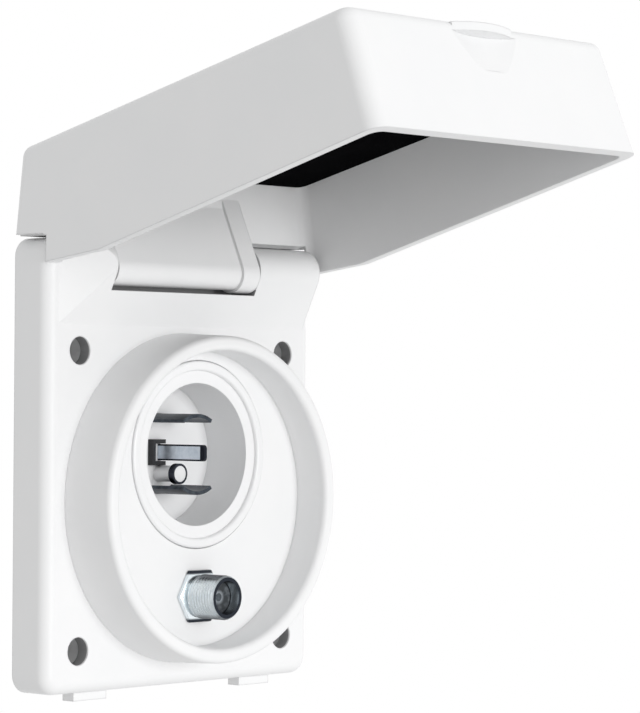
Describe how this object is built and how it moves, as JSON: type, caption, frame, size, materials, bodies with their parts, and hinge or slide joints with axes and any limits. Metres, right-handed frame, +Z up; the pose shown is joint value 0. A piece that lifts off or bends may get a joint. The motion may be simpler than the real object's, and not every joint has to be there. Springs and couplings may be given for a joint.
{
  "type": "power inlet",
  "caption": "Square wall inlet plate with a deep hinged weather lid, a round collar, a round signal socket and a threaded coax connector.",
  "frame": {"origin": "centre of the four fixing holes, on the mounting plane (the gasket's back face, flush with the plate's back edge)", "axes": "+X to the right of someone facing the plate, -Y outward from the wall, +Z up"},
  "size_m": [0.0834, 0.1081, 0.1381],
  "materials": {
    "white_moulding": "satin",
    "insert_white": "satin",
    "black_foam": "matte",
    "black_rubber": "matte",
    "dark_plastic": "matte",
    "contact_metal": "satin",
    "nickel": "polished",
    "steel_pin": "satin"
  },
  "bodies": {
    "base": {"base_housing": "white_moulding", "socket_cup": "white_moulding", "wall_gasket": "black_rubber", "hinge_pin": "steel_pin", "socket_insert": "insert_white", "insert_lock_ring": "insert_white", "contact_upper": "contact_metal", "contact_lower": "contact_metal", "contact_blade": "contact_metal", "blade_clip": "dark_plastic", "key_eyelet": "contact_metal", "coax_body": "nickel", "coax_nut": "nickel", "coax_lock_washer": "nickel", "coax_insulator_front": "insert_white", "coax_insulator_rear": "insert_white", "coax_pin": "contact_metal", "terminal_screw_upper": "steel_pin", "terminal_nut_upper": "steel_pin", "terminal_screw_blade": "steel_pin", "terminal_nut_blade": "steel_pin", "terminal_screw_lower": "steel_pin", "terminal_nut_lower": "steel_pin"},
    "lid_body": {"lid": "white_moulding", "lid_liner": "black_foam"}
  },
  "joints": [
    {"name": "lid_hinge", "type": "hinge", "parent": "base", "child": "lid_body", "pos_m": [0, -0.0115, 0.0486], "axis": [1, 0, 0], "range_deg": [0, 105.9]}
  ]
}
